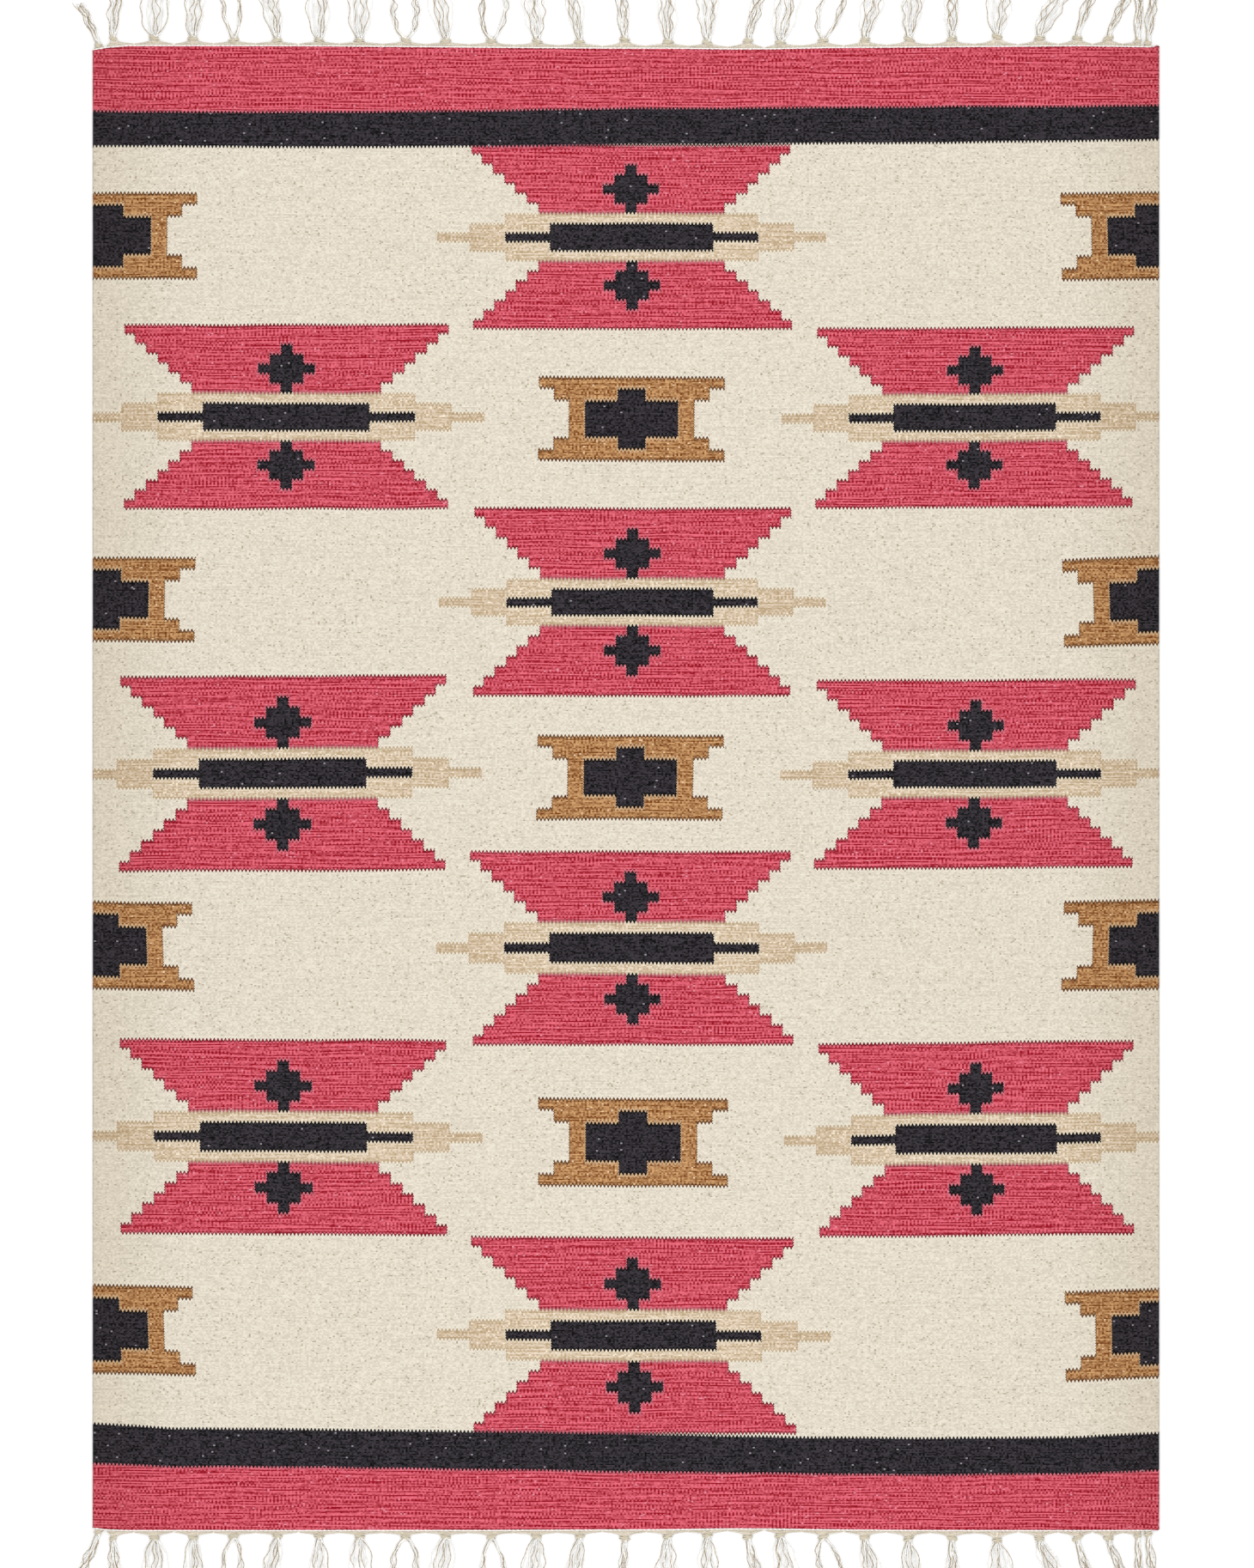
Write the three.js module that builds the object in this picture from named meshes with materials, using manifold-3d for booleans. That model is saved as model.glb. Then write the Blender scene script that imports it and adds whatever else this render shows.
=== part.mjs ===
// A flat-woven kilim rug, lying flat on a floor, with a knotted fringe at each end.
// Millimetres, +Z up. The origin is the middle of the cloth's underside, +Y runs along
// the warp to the far end, and +X runs along the weft to the right.
import * as THREE from 'three';
import { mergeVertices } from 'three/addons/utils/BufferGeometryUtils.js';
import Module from 'manifold-3d';

const wasm = await Module();
wasm.setup();

// The woven cloth.
const CLOTH_WIDTH = 1520;
const CLOTH_LENGTH = 2116;
const CLOTH_THICKNESS = 3.5;

// The warp ends that run along the cloth's end edge between the knots. A swag is narrow,
// and widens from SWAG_TOE before each knot to meet it.
const GAP = 0.32;
const SWAG_THICKNESS = 2.8;
const SWAG_WIDTH = 3.6;
const SWAG_TOE = 13;
const ROOM_FOR_SWAG = 40;
const BARE_CORNER = 11;

// Overhand knots, each a flat-bottomed lump wider than it is deep. Those within
// CORNER_REACH of a side edge hold fewer warp ends.
const KNOT_SIDES = 8;
const KNOT_WIDTH = 16;
const KNOT_DEPTH = 9;
const KNOT_HEIGHT = 6;
const KNOT_ROUNDING = 1.8;
const CORNER_KNOT_WIDTH = 12;
const CORNER_REACH = 32;
const KNOT_OVERLAP = 1;

// The locks of a tassel. Each has a flat foot on the floor and a ridge above it. A lock
// starts LOCK_ROOT past the knot's middle, and LOCK_STATIONS are its bends, from 0 at the
// root to 1 at the tip. The root is ROOT_LIFT above the floor, inside the knot. Every
// second lock is up to SHORT_LOCK shorter than the others. The locks spread soon after
// the knot, as FAN_CURVE says, and lean more towards their tips, as LEAN_CURVE says.
const LOCKS = 5;
const LOCK_PITCH = 2.2;
const LOCK_WIDTH = 2;
const LOCK_HEIGHT = 2;
const LOCK_TIP_SCALE = 0.8;
const LOCK_STATIONS = [0, 0.2, 0.5, 1];
const LOCK_ROOT = 1.5;
const ROOT_LIFT = 0.7;
const SHORT_LOCK = 5;
const FAN_CURVE = 3;
const LEAN_CURVE = 1.2;

// The two end edges of the cloth, from the left corner to the right one. x is the place
// across the cloth, and far and near are how far each end edge is drawn in from its
// straight line, in mm.
const END_EDGES = [
  { x: -760, far: 6.0, near: 3.5 },
  { x: -740, far: 2.6, near: 1.0 },
  { x: -710, far: 0.0, near: 0.0 },
  { x: -460, far: 0.2, near: 0.0 },
  { x: -320, far: 1.3, near: 0.2 },
  { x: -200, far: 2.4, near: 0.2 },
  { x: -40, far: 3.6, near: 0.8 },
  { x: 60, far: 3.8, near: 1.2 },
  { x: 150, far: 4.8, near: 2.4 },
  { x: 210, far: 4.6, near: 2.2 },
  { x: 290, far: 2.8, near: 1.0 },
  { x: 420, far: 2.0, near: 0.1 },
  { x: 560, far: 0.9, near: 0.0 },
  { x: 650, far: 0.2, near: 0.0 },
  { x: 752, far: 1.8, near: 0.2 },
  { x: 754, far: 0.0, near: 0.3 },
  { x: 760, far: 0.0, near: 0.5 },
];

// The knots and their tassels, from left to right, alike at both ends. x is the knot's
// place across the cloth and out its distance from the cloth's edge. lean is how far the
// tips lie to the right of the knot, fan is half the tassel's width at its tips, and
// reach is the tips' distance from the cloth's edge. All are in mm.
const TASSELS = [
  { x: -752, out: 5, lean: -27, fan: 6, reach: 66 },
  { x: -731, out: 12, lean: 5, fan: 9, reach: 80 },
  { x: -672, out: 10.5, lean: 1, fan: 19, reach: 77 },
  { x: -617, out: 10, lean: 5, fan: 13, reach: 82 },
  { x: -559, out: 8, lean: -6, fan: 15, reach: 79 },
  { x: -497, out: 7.5, lean: -13, fan: 13, reach: 76 },
  { x: -437, out: 7.5, lean: -1, fan: 15, reach: 81 },
  { x: -380, out: 7.5, lean: 1, fan: 16, reach: 78 },
  { x: -314, out: 9, lean: -2, fan: 21, reach: 75 },
  { x: -257, out: 8, lean: -11, fan: 17, reach: 80 },
  { x: -192, out: 9, lean: 5, fan: 20, reach: 83 },
  { x: -127, out: 8.5, lean: -7, fan: 16, reach: 77 },
  { x: -66, out: 8.5, lean: -11, fan: 12, reach: 79 },
  { x: -2, out: 12, lean: -4, fan: 8, reach: 82 },
  { x: 60, out: 9, lean: -3, fan: 14, reach: 76 },
  { x: 116, out: 8.5, lean: 2, fan: 14, reach: 80 },
  { x: 174, out: 11.5, lean: 17, fan: 8, reach: 78 },
  { x: 220, out: 8.5, lean: 12, fan: 17, reach: 81 },
  { x: 281, out: 10, lean: 18, fan: 18, reach: 77 },
  { x: 340, out: 10.5, lean: 16, fan: 15, reach: 79 },
  { x: 403, out: 11, lean: 8, fan: 15, reach: 83 },
  { x: 464, out: 11, lean: 1, fan: 10, reach: 78 },
  { x: 529, out: 14, lean: 6, fan: 17, reach: 80 },
  { x: 589, out: 11, lean: 31, fan: 14, reach: 76 },
  { x: 643, out: 11, lean: 24, fan: 7, reach: 79 },
  { x: 687, out: 11, lean: 29, fan: 7, reach: 74 },
  { x: 729, out: 7.5, lean: 4, fan: 6, reach: 80 },
  { x: 744, out: 5.5, lean: 9, fan: 6, reach: 78 },
];

// The end edge's y at a place across the cloth, for the far end (+1) or the near end (-1).
function endEdge(x, side) {
  const column = side > 0 ? 'far' : 'near';
  const next = Math.max(1, END_EDGES.findIndex((row) => row.x >= x));
  const from = END_EDGES[next - 1];
  const to = END_EDGES[next];
  const inset = THREE.MathUtils.mapLinear(x, from.x, to.x, from[column], to[column]);
  return side * (CLOTH_LENGTH / 2 - inset);
}

// A flat outline raised to a height.
function raised(points, height, options = {}) {
  const shape = new THREE.Shape(points.map(([x, y]) => new THREE.Vector2(x, y)));
  return new THREE.ExtrudeGeometry(shape, { depth: height, bevelEnabled: false, ...options });
}

// A closed mesh as a solid that can be joined, and back again.
function toSolid(geometry) {
  const bare = geometry.index ? geometry.toNonIndexed() : geometry.clone();
  bare.deleteAttribute('normal');
  bare.deleteAttribute('uv');
  const merged = mergeVertices(bare, 1e-4);
  return new wasm.Manifold(new wasm.Mesh({
    numProp: 3,
    vertProperties: new Float32Array(merged.attributes.position.array),
    triVerts: new Uint32Array(merged.index.array),
  }));
}

function fromSolid(solid) {
  const mesh = solid.getMesh();
  const geometry = new THREE.BufferGeometry();
  geometry.setAttribute('position', new THREE.BufferAttribute(new Float32Array(mesh.vertProperties), 3));
  geometry.setIndex(new THREE.BufferAttribute(new Uint32Array(mesh.triVerts), 1));
  geometry.computeVertexNormals();
  return geometry;
}

// The cloth: one slab whose end edges wander as the weaver left them, with straight sides.
function makeCloth() {
  const farEdge = END_EDGES.map(({ x }) => [x, endEdge(x, 1)]);
  const nearEdge = END_EDGES.map(({ x }) => [x, endEdge(x, -1)]);
  return raised([...nearEdge, ...farEdge.reverse()], CLOTH_THICKNESS);
}

// How wide a tassel's knot is: the corner ones are slimmer.
function knotWidth(tassel) {
  const corner = Math.abs(tassel.x) > CLOTH_WIDTH / 2 - CORNER_REACH;
  return corner ? CORNER_KNOT_WIDTH : KNOT_WIDTH;
}

// The strip of gathered warp ends, narrow between two knots and drawn out at each knot.
function makeSwags(side) {
  const left = -CLOTH_WIDTH / 2;
  const right = CLOTH_WIDTH / 2 - BARE_CORNER;
  const widths = [[left, SWAG_WIDTH]];
  TASSELS.forEach((tassel, index) => {
    const shoulder = knotWidth(tassel) / 4;
    const toe = knotWidth(tassel) / 2 + SWAG_TOE;
    const drawn = Math.max(tassel.out - KNOT_OVERLAP, SWAG_WIDTH);
    const before = index > 0 ? tassel.x - TASSELS[index - 1].x : 0;
    const after = index < TASSELS.length - 1 ? TASSELS[index + 1].x - tassel.x : 0;
    if (before > ROOM_FOR_SWAG) widths.push([tassel.x - toe, SWAG_WIDTH]);
    widths.push([tassel.x - shoulder, drawn], [tassel.x + shoulder, drawn]);
    if (after > ROOM_FOR_SWAG) widths.push([tassel.x + toe, SWAG_WIDTH]);
  });
  widths.push([right, SWAG_WIDTH]);
  const between = END_EDGES.map((row) => row.x).filter((x) => x > left && x < right);
  const inner = [left, ...between, right].map((x) => [x, endEdge(x, side) + side * GAP]);
  const outer = widths.map(([x, width]) => [x, endEdge(x, side) + side * (GAP + width)]);
  return raised([...inner, ...outer.reverse()], SWAG_THICKNESS);
}

// A knot: an eight-sided lump with rounded upper and lower rims, flat where it rests.
function makeKnot(tassel, side) {
  const width = knotWidth(tassel);
  const points = [];
  for (let corner = 0; corner < KNOT_SIDES; corner += 1) {
    const turn = ((corner + 0.5) / KNOT_SIDES) * Math.PI * 2;
    points.push([
      Math.cos(turn) * (width / 2 - KNOT_ROUNDING),
      Math.sin(turn) * (KNOT_DEPTH / 2 - KNOT_ROUNDING),
    ]);
  }
  const lump = raised(points, KNOT_HEIGHT - 2 * KNOT_ROUNDING, {
    bevelEnabled: true,
    bevelThickness: KNOT_ROUNDING,
    bevelSize: KNOT_ROUNDING,
    bevelSegments: 1,
  });
  const y = endEdge(tassel.x, side) + side * (GAP + tassel.out);
  return lump.translate(tassel.x, y, KNOT_ROUNDING);
}

// One lock: a three-sided strand that leaves the knot and fans out along the floor.
function makeLock(tassel, side, number) {
  const place = number - (LOCKS - 1) / 2;
  const share = place / ((LOCKS - 1) / 2);
  const start = endEdge(tassel.x, side) + side * (GAP + tassel.out + LOCK_ROOT);
  const run = tassel.reach - tassel.out - LOCK_ROOT;
  const kept = 1 - (SHORT_LOCK / run) * Math.abs(share) * ((number + 1) % 2);
  const rings = LOCK_STATIONS.map((station) => {
    const along = station * kept;
    const opened = 1 - (1 - along) ** FAN_CURVE;
    const x = tassel.x
      + place * LOCK_PITCH * (1 - opened)
      + share * tassel.fan * opened
      + tassel.lean * along ** LEAN_CURVE;
    const y = start + side * run * along;
    const scale = THREE.MathUtils.lerp(1, LOCK_TIP_SCALE, along);
    const foot = station === 0 ? ROOT_LIFT : 0;
    const half = (LOCK_WIDTH / 2) * scale;
    return [[x - half, y, foot], [x + half, y, foot], [x, y, foot + LOCK_HEIGHT * scale]];
  });
  const positions = rings.flat(2);
  const indices = [];
  const face = (a, b, c) => indices.push(...(side > 0 ? [a, c, b] : [a, b, c]));
  const sides = 3;
  for (let ring = 0; ring < rings.length - 1; ring += 1) {
    for (let corner = 0; corner < sides; corner += 1) {
      const a = ring * sides + corner;
      const b = ring * sides + ((corner + 1) % sides);
      face(a, b, b + sides);
      face(a, b + sides, a + sides);
    }
  }
  const end = (rings.length - 1) * sides;
  face(2, 1, 0);
  face(end, end + 1, end + 2);
  const geometry = new THREE.BufferGeometry();
  geometry.setAttribute('position', new THREE.BufferAttribute(new Float32Array(positions), 3));
  geometry.setIndex(indices);
  return geometry;
}

// One end's fringe: the swags with every knot and lock fused to them.
function makeFringe(side) {
  let fringe = toSolid(makeSwags(side));
  TASSELS.forEach((tassel) => {
    fringe = fringe.add(toSolid(makeKnot(tassel, side)));
    for (let number = 0; number < LOCKS; number += 1) {
      fringe = fringe.add(toSolid(makeLock(tassel, side, number)));
    }
  });
  return fromSolid(fringe);
}

// A named sub-part in matt yarn of one colour.
function piece(name, geometry, color) {
  const material = new THREE.MeshStandardMaterial({ color, roughness: 0.95, metalness: 0 });
  const mesh = new THREE.Mesh(geometry, material);
  mesh.name = name;
  return mesh;
}

const WOVEN_CREAM = 0xe3dbc9;
const COTTON_ECRU = 0xd9d3c5;

const group = new THREE.Group();
group.name = 'kilim_rug';
group.add(piece('kilim_cloth', makeCloth(), WOVEN_CREAM));
group.add(piece('fringe_far', makeFringe(1), COTTON_ECRU));
group.add(piece('fringe_near', makeFringe(-1), COTTON_ECRU));

export default group;
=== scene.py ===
"""A flat-woven kilim rug with a knotted cotton fringe at each end, lying on a pale floor.

The cloth is one thin sheet with the weave's stepped figures drawn by its material. The
turns of the weft along the sides, the last beads of weft at the ends, and every yarn and
knot of the fringe are modelled. Lengths are in millimetres until they reach Blender.
"""

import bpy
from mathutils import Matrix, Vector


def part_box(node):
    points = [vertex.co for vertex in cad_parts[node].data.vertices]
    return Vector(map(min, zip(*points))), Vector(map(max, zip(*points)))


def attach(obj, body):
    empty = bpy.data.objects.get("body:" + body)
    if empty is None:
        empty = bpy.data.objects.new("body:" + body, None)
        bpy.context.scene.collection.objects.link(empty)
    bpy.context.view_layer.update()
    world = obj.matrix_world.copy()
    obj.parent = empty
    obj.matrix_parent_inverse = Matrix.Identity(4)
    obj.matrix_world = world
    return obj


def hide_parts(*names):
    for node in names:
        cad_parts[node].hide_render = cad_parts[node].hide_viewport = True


bl_info = {
    "name": "Kilim Rug",
    "version": (1, 0, 0),
    "blender": (4, 5, 0),
    "location": "3D Viewport > Sidebar > Kilim",
    "description": "Builds a flat-woven kilim rug with a knotted fringe",
    "category": "Add Mesh",
}

import math
import random
from functools import partial

import bpy
from mathutils import Vector, noise

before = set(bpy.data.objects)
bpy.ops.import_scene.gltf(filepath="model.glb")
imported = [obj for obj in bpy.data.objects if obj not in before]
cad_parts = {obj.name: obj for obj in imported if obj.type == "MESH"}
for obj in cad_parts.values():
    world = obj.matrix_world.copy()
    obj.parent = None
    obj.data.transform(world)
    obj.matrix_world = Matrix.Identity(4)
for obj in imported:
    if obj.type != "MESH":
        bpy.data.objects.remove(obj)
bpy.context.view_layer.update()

MM = 0.001

# The cloth, as the frame has it.
CLOTH_LOW, CLOTH_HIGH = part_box("kilim_cloth")
CLOTH_WIDTH = round((CLOTH_HIGH.x - CLOTH_LOW.x) / MM, 1)
CLOTH_LENGTH = round((CLOTH_HIGH.y - CLOTH_LOW.y) / MM, 1)
CLOTH_THICKNESS = round((CLOTH_HIGH.z - CLOTH_LOW.z) / MM, 2)

# The weave: 571 warps, and picks of weft, each over every second warp. Real picks are finer
# than a pixel of the render, so they are drawn about twice as coarse as they are.
WARP_PITCH = 2.66
PICK_PITCH = 1.85

# How long a change of tone in a yarn's dye is, and how far apart two picks lie in the noise
# that it is made of, so that they are unlike.
STREAK = 90
PICK_STEP = 1.37

# How long the wander of the rows is, how rough it is, and how far it carries the figures'
# edges and the rows.
WANDER = 130
WANDER_DETAIL = 1.5
EDGE_WANDER = (2.5, 3, 0)
ROW_WANDER = (0, 5, 0)

# Where two colours meet, how high the teeth of an edge across the warp are, and how far an
# edge along the warp juts out and in as the picks turn back. Real teeth are about 2 mm high,
# which wouldn't show in the render. That far inside such an edge the yarn is painted in its
# shade colour as painted shade, and that far outside it the yarn beside it gets a painted
# highlight: in rows in the figures, and in mm beside them and along the bands.
TOOTH_HEIGHT = 4
TURN_WIDTH = 1.5
RIM_ROWS = 0.2
RIM_WIDTH = 1.1
BAND_RIM = 1.9

# How much the beads' painted light and shade show in a yarn's tone beside its rows, and how
# high the beads, the crossings of warp and weft, and the dots along a colour's edge stand
# beside the rows.
BEAD_SHADING = 1.3
BEAD_RELIEF = 3
CROSSING_RELIEF = 0.6
EDGE_RELIEF = 2
WEAVE_DEPTH = 0.5

# Where the tails of the winged bars begin and end to be greyer, in units, and where the
# cloth begins and ends to be darker towards its sides, as painted shade where the light
# falls off, with the tint of each.
TAIL_START = 8
TAIL_END = 15
TAIL_TINT = "#F4F1ED"
SIDE_SHADE_START = 610
SIDE_SHADE_END = 765
SIDE_SHADE_TINT = "#F3F1ED"

# The sockets of a Mix node that mixes colours: the colour below, the one above, the result.
MIX_BELOW = 6
MIX_ABOVE = 7
MIXED = 2

# How far each end edge is drawn in from its straight line, from the left corner to the
# right one: (place across the cloth, at the far end, at the near end).
END_EDGES = (
    (-760, 6.0, 3.5),
    (-740, 2.6, 1.0),
    (-710, 0.0, 0.0),
    (-460, 0.2, 0.0),
    (-320, 1.3, 0.2),
    (-200, 2.4, 0.2),
    (-40, 3.6, 0.8),
    (60, 3.8, 1.2),
    (150, 4.8, 2.4),
    (210, 4.6, 2.2),
    (290, 2.8, 1.0),
    (420, 2.0, 0.1),
    (560, 0.9, 0.0),
    (650, 0.2, 0.0),
    (752, 1.8, 0.2),
    (754, 0.0, 0.3),
    (760, 0.0, 0.5),
)

# The knots and their tassels, from left to right, alike at both ends: (place across, the
# knot's distance from the cloth's edge, how far the tips lean to the right, half the width
# at the tips, the tips' distance from the edge).
TASSELS = (
    (-752, 5, -27, 6, 66),
    (-731, 12, 5, 9, 80),
    (-672, 10.5, 1, 19, 77),
    (-617, 10, 5, 13, 82),
    (-559, 8, -6, 15, 79),
    (-497, 7.5, -13, 13, 76),
    (-437, 7.5, -1, 15, 81),
    (-380, 7.5, 1, 16, 78),
    (-314, 9, -2, 21, 75),
    (-257, 8, -11, 17, 80),
    (-192, 9, 5, 20, 83),
    (-127, 8.5, -7, 16, 77),
    (-66, 8.5, -11, 12, 79),
    (-2, 12, -4, 8, 82),
    (60, 9, -3, 14, 76),
    (116, 8.5, 2, 14, 80),
    (174, 11.5, 17, 8, 78),
    (220, 8.5, 12, 17, 81),
    (281, 10, 18, 18, 77),
    (340, 10.5, 16, 15, 79),
    (403, 11, 8, 15, 83),
    (464, 11, 1, 10, 78),
    (529, 14, 6, 17, 80),
    (589, 11, 31, 14, 76),
    (643, 11, 24, 7, 79),
    (687, 11, 29, 7, 74),
    (729, 7.5, 4, 6, 80),
    (744, 5.5, 9, 6, 78),
)

# The tassels whose yarns part in two locks, counted from the left.
PARTED = (4, 8, 10, 18)

# A plied yarn: its corners, how far its two plies stand out, and the length of a full twist.
YARN_SIDES = 6
PLY_DEPTH = 0.22
TWIST = 14

# The look of its cotton: how thin the line of painted shade in the crease between its plies
# is and how much it darkens the yarn, how long and how deep its lint is, and how much that
# lightens and darkens it.
PLY_LINE = 2.5
PLY_LINE_SHADE = 0.55
LINT = 1.8
LINT_DEPTH = 0.3
LINT_TONE = 0.9
LINT_BASE = -0.32

# The fringe's cotton where it is lit, and with painted shade in the crease between two
# plies: creamy and darkened with painted shade where it is gathered, almost white where it is
# loose, darker where a knot draws it tight, and dark brown in the single plies, which stand in
# as painted shadow lines between the brighter yarns.
GATHERED_COTTON = ("#EDE4D4", "#C9BDA7")
LOOSE_COTTON = ("#FFFFFD", "#FBF7EF")
KNOTTED_COTTON = ("#DAD2BF", "#ABA087")
SHADOW_LINE_COTTON = ("#C2A672", "#644724")

# The seeds of the unevenness, which differs from one end of the rug to the other.
SWAG_SEED = 31
KNOT_SEED = 47
TASSEL_SEED = 59
LAST_BEAD_SEED = 73

# The warp ends between the cloth and the knots. They cross those of the next knot halfway,
# in a ribbon that is SWAG_WIDTH wide and widens within SWAG_TOE of a knot. None are left
# at the right corner.
GAP = 0.32
SWAG_YARN = 0.8
SWAG_WIDTH = 5.4
SWAG_TOE = 22
SWAG_TOE_CURVE = 1.7
SWAG_CROSSING = 1.15
SWAG_STEP = 3.2
BARE_CORNER = 11

# A warp end starts that far inside the cloth, and slants on its way out of it. It lies that
# far over or under its neighbours, settles among them a little before its knot, and climbs
# into it.
SWAG_ROOT = 1.2
SWAG_SLANT = 0.6
SWAG_LAYERS = (-0.6, 0.9)
SWAG_SETTLING = 1.2
SWAG_LEAST_RANK = 0.15
SWAG_CLIMB = 1

# The warp ends that run straight into a knot: how wide apart they leave the cloth and enter
# the knot beside the tassel's neck, where they start, and how high they climb.
NECK_YARNS = 5
NECK_FLARE = 1.5
NECK_WAIST = 0.6
NECK_ROOT = 1
NECK_HEIGHT = 1.9
NECK_CLIMB = 1.5
NECK_STEPS = 3

# The twined row that closes the cloth's end: two strands that turn about each other.
HEADING_YARN = 0.8
HEADING_OUT = 0.15
HEADING_HEIGHT = 3.6
HEADING_STEP = 2
HEADING_TURN_STEPS = 6
HEADING_TURN_RADIUS = 0.35

# The knots. Those within CORNER_REACH of a side edge are slimmer. A knot's loops get smaller
# and lower away from its middle, and each lies a little off its place.
WRAP_YARN = 0.95
WRAP_STEPS = 20
WRAP_PLACES = (-1, -0.5, 0, 0.5, 1)
WRAP_SIZES = (0.9, 1.05)
WRAP_TILT = 0.16
WRAP_SHIFT = 0.9
KNOT_WIDTH = 16
KNOT_DEPTH = 5.2
KNOT_HEIGHT = 4.2
KNOT_TILT = 0.3
KNOT_TAPER = 0.3
KNOT_CROWN = 0.25
CORNER_KNOT_WIDTH = 12
CORNER_REACH = 32

# The tassels' yarns, which leave the knot in a neck and spread soon after it, and the single
# dark plies among them, which stand in as painted shadow lines between the yarns. The yarns
# are about twice as thick as real ones and fewer, so that they show.
TASSEL_YARNS = 8
SHADOW_PLIES = 4
TASSEL_YARN = 1.05
SHADOW_PLY = 0.4
TASSEL_STEP = 2.3
NECK = 5.5
ROOT = 1.5
YARN_SIZES = (0.85, 1.05)
YARN_LENGTHS = (0.88, 1)

# How they share out a tassel's width: they cling together in locks half the tassel's half
# width apart, the inner ones keep to its body, those of a parted tassel leave its middle
# free, and the single plies, painted shadow lines, spread wider and are scattered.
CLINGING = 0.4
SCATTER = 0.08
OUTERMOST = 0.9
BODY = 0.88
PARTING = 0.62
SHADOW_PLY_SPREAD = 1.1
SHADOW_PLY_SCATTER = 0.3

# How they run: how soon a tassel opens, how its lean grows, how far and how often a yarn
# sways, and how far its tip curls.
OPENINGS = (3, 6)
LEAN_CURVE = 1.2
SWAY = (0.9, 2.4)
SHADOW_PLY_SWAY = 1.8
SWAY_CURVE = 0.7
BENDS = (9, 20)
CURL = 3.5
CURL_START = 0.75

# How high they lie: three layers at the knot, a step down from it, the single plies, painted
# shadow lines, on top of the others, and a slight rise and fall.
LAYER = 1.3
LAYER_CHANCE = 0.4
KNOT_STEP = 1.2
SHADOW_PLY_PERCH = 1.8
RISE_AND_FALL = 0.2
RISES = 14

# The weft turns around the outer warps, and the longer beads of the last pick.
TURN_PITCH = 2.5
TURN_YARN = 1.25
TURN_ROOM = 0.8
TURN_OUT = 0.4
TURN_STEPS = 4
LAST_BEAD = 10.2
LAST_BEAD_YARN = 1.15
LAST_BEAD_LENGTHS = (0.75, 1.2)
LAST_BEAD_STEPS = 7
LAST_BEAD_OVERLAP = 0.8
LAST_BEAD_INSIDE = 1.5
LAST_BEAD_SWELL = 0.7
LAST_BEAD_RISE = 0.8
LAST_MARGIN = 0.5
LAST_ROOM = 1.4

# The cloth's sheet: the size of its cells, and how long its ripples are across and along.
CELL = 11
RIPPLE_ACROSS = 240
RIPPLE_ALONG = 150
RIPPLE_LAYER = 3.1
EDGE_ROUNDING = 1.2

# The lines where the end bands change colour, as distances from the middle of the cloth:
# (place across, far pink to black, far black to cream, near cream to black, near black to pink).
BAND_LINES = (
    (-760, 965, 915, 905, 962.5),
    (-640, 963.5, 914, 912, 967),
    (-440, 963.5, 913, 913.5, 968),
    (-240, 965, 913.5, 916.5, 971),
    (0, 969, 917, 919.5, 974.5),
    (230, 969.5, 917.5, 925, 977),
    (450, 971.5, 919, 926, 979.5),
    (650, 971.5, 922, 924, 977),
    (760, 973.5, 923.5, 918.5, 972.5),
)

# The figures are woven in rows that mirror about their middle. A row's half-widths are in
# units of the figure, and a row ends so many rows from the middle.
# The winged bar: (row's end, black, beige, pink).
WINGED_ROWS = (
    (0.45, 11, 16.9, 0),
    (1.45, 7.1, 14.1, 0),
    (2.5, 0, 11, 0),
    (3.5, 0.5, 0, 8.1),
    (4.5, 1.45, 0, 9.1),
    (5.5, 2.45, 0, 10.1),
    (6.5, 1.45, 0, 11),
    (7.5, 0.5, 0, 12),
    (8.5, 0, 0, 12.95),
    (9.5, 0, 0, 13.85),
)

# The winged bar's own rows end there, and its wings begin.
BAR_ROWS = 2.5

# The framed block: (row's end, black, brown), in the middle of the cloth and at its sides.
FRAMED_ROWS = (
    (1.5, 4, 5.4),
    (2.5, 1.2, 6.7),
    (3.5, 0, 8),
)
SIDE_ROWS = (
    (1.5, 4, 5.4),
    (2.5, 1.6, 6.7),
    (3.5, 0, 8),
)

# Where the winged bars lie: (middle x, middle y, unit, height of a row, how high the rows
# of the bar are beside those of the wings, how far it leans to the right as it goes up, how
# far it climbs as it goes to the right).
WINGED_BARS = (
    (8, 785, 16.4, 14, 0.95, -0.01, 0),
    (9, 265, 16.3, 14.5, 0.9, 0.005, 0),
    (8, -228, 16.5, 14.5, 1, -0.015, 0),
    (11, -780, 16.6, 14.9, 0.95, -0.015, -0.005),
    (-484, 529, 16.7, 14, 0.95, 0.005, 0),
    (-489, 21, 16.8, 14.8, 0.95, 0.005, 0.005),
    (-488, -497, 16.8, 14.8, 0.95, -0.005, -0.005),
    (497, 528, 16.3, 13.7, 0.95, 0.01, 0.005),
    (497, 20, 16.4, 14.5, 0.9, 0.015, 0.005),
    (499, -500, 16.2, 14.7, 0.95, -0.005, 0.01),
)

# Where the framed blocks lie, in the same columns, and those that the selvedges cut.
FRAMED_BLOCKS = (
    (8, 526, 16.6, 17, 1, 0.005, -0.005),
    (6, 15, 16.6, 17, 1, 0.015, 0),
    (10, -505, 16.9, 17.7, 1, -0.005, -0.005),
)
SIDE_BLOCKS = (
    (-742, 787, 16.4, 17.4, 1, 0.005, -0.005),
    (-746, 269, 16.5, 16.9, 1, 0.025, -0.005),
    (-748, -224, 16.4, 17.7, 1, -0.03, -0.02),
    (-747, -771, 16.5, 17.9, 1, -0.035, -0.025),
    (752, 787, 16.5, 17.6, 1, -0.02, 0.01),
    (755, 268, 16.5, 17.8, 1, -0.015, 0.04),
    (754, -223, 16.5, 18, 1, 0.03, 0.02),
    (758, -777, 16.5, 18, 1, -0.015, 0.035),
)

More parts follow.
